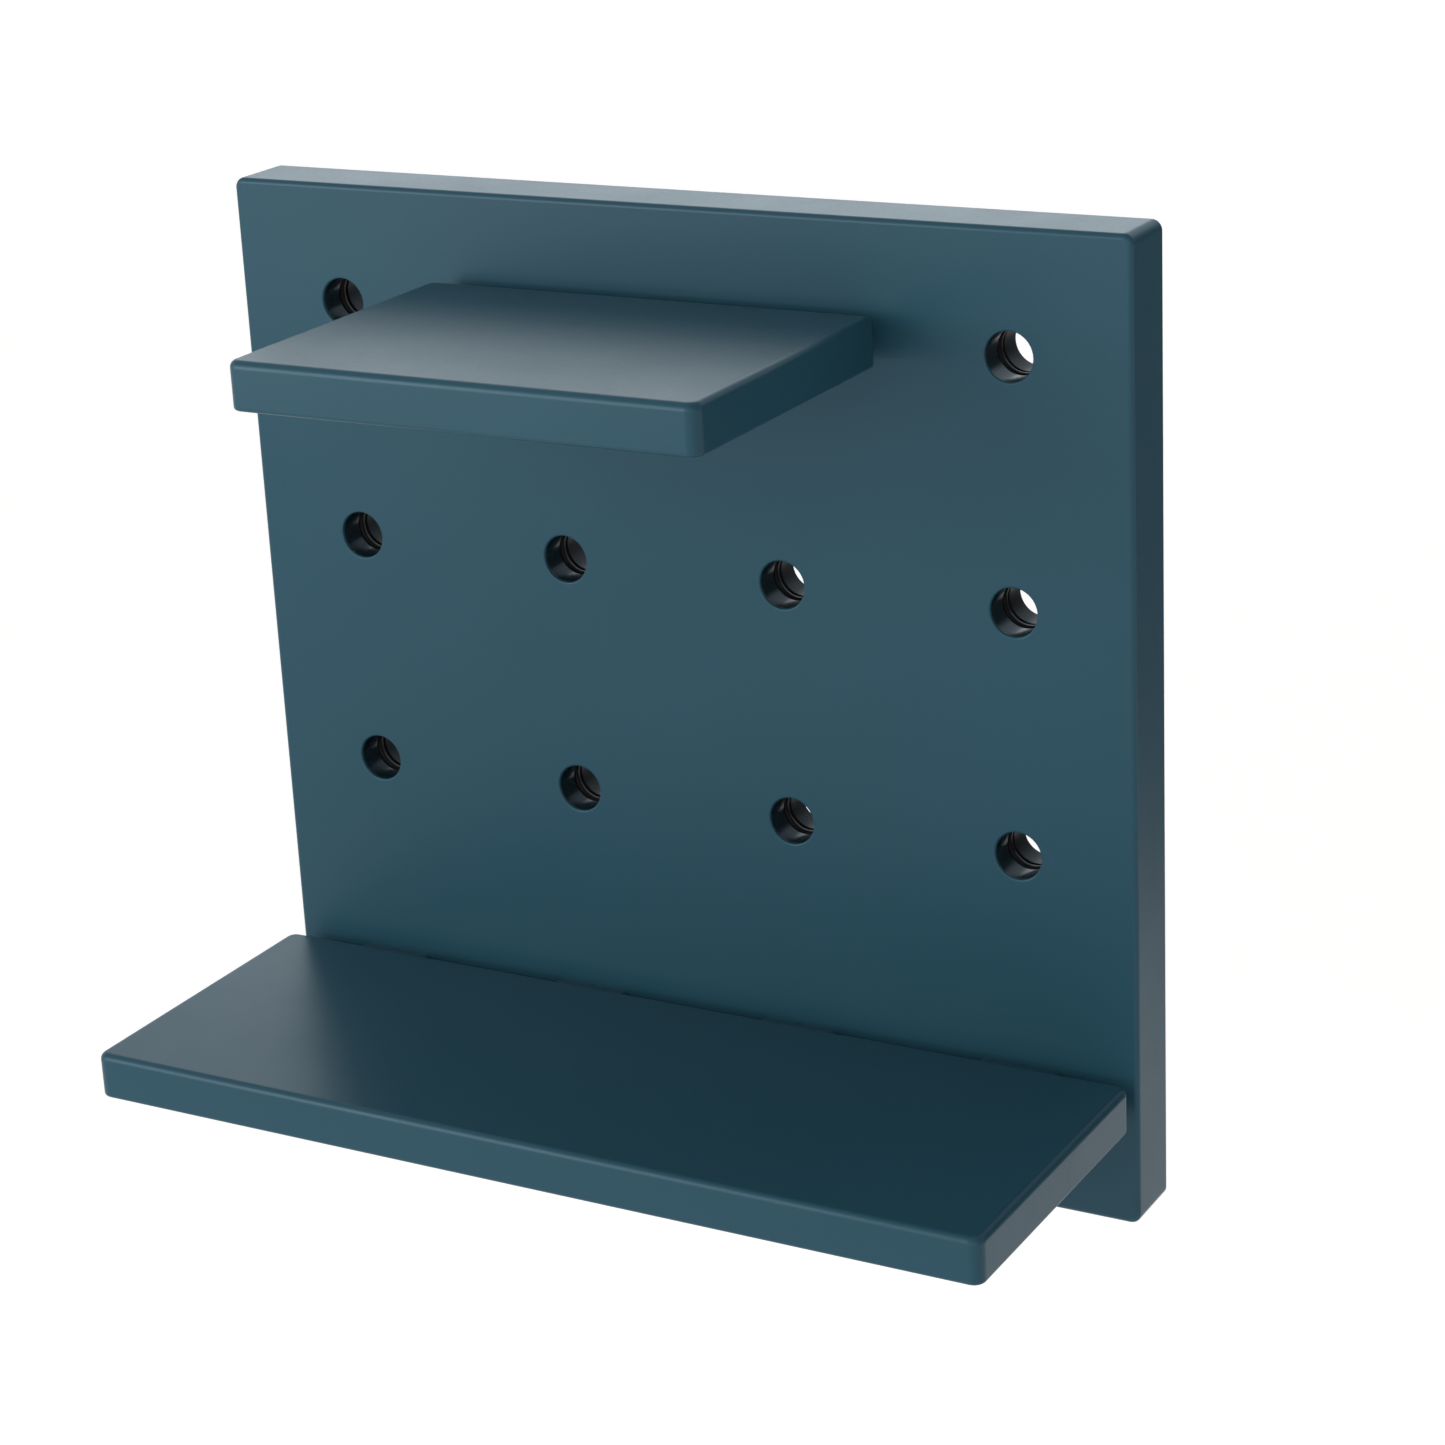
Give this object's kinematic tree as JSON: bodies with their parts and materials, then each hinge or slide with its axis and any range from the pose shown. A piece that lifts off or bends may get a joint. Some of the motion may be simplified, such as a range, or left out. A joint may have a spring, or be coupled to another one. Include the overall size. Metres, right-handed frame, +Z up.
{
  "type": "peg board shelf unit",
  "caption": "Square wall-hung plastic peg board with a grid of round through-holes and flat plug-in shelves, one half width near the top and one full width near the bottom.",
  "frame": {"origin": "middle of the board's height and width, on the wall's surface", "axes": "+X to the right seen from the front, +Y into the wall, +Z up"},
  "size_m": [0.24, 0.1065, 0.24],
  "materials": {
    "board_plastic": "satin",
    "cover_plastic": "satin",
    "peg_plastic": "satin",
    "ring_rubber": "matte",
    "pad_foam": "matte",
    "screw_steel": "satin"
  },
  "bodies": {
    "board": {"panel_front": "board_plastic", "back_cover": "cover_plastic", "cover_screws": "screw_steel", "grip_ring_1_1": "ring_rubber", "grip_ring_1_2": "ring_rubber", "grip_ring_1_3": "ring_rubber", "grip_ring_1_4": "ring_rubber", "grip_ring_2_1": "ring_rubber", "grip_ring_2_2": "ring_rubber", "grip_ring_2_3": "ring_rubber", "grip_ring_2_4": "ring_rubber", "grip_ring_3_1": "ring_rubber", "grip_ring_3_2": "ring_rubber", "grip_ring_3_3": "ring_rubber", "grip_ring_3_4": "ring_rubber", "grip_ring_4_1": "ring_rubber", "grip_ring_4_2": "ring_rubber", "grip_ring_4_3": "ring_rubber", "grip_ring_4_4": "ring_rubber", "wall_pad_1": "pad_foam", "wall_pad_2": "pad_foam", "wall_pad_3": "pad_foam", "wall_pad_4": "pad_foam", "wall_pad_5": "pad_foam"},
    "upper_shelf": {"upper_deck": "board_plastic", "upper_base": "board_plastic", "upper_screws": "screw_steel", "upper_peg_1": "peg_plastic", "upper_peg_2": "peg_plastic"},
    "lower_shelf": {"lower_deck": "board_plastic", "lower_base": "board_plastic", "lower_screws": "screw_steel", "lower_peg_1": "peg_plastic", "lower_peg_2": "peg_plastic", "lower_peg_3": "peg_plastic", "lower_peg_4": "peg_plastic"}
  },
  "joints": [
    {"name": "upper_shelf_pull", "type": "slide", "parent": "board", "child": "upper_shelf", "axis": [0, -1, 0], "range_m": [0, 0.0145]},
    {"name": "lower_shelf_pull", "type": "slide", "parent": "board", "child": "lower_shelf", "axis": [0, -1, 0], "range_m": [0, 0.0145]}
  ]
}
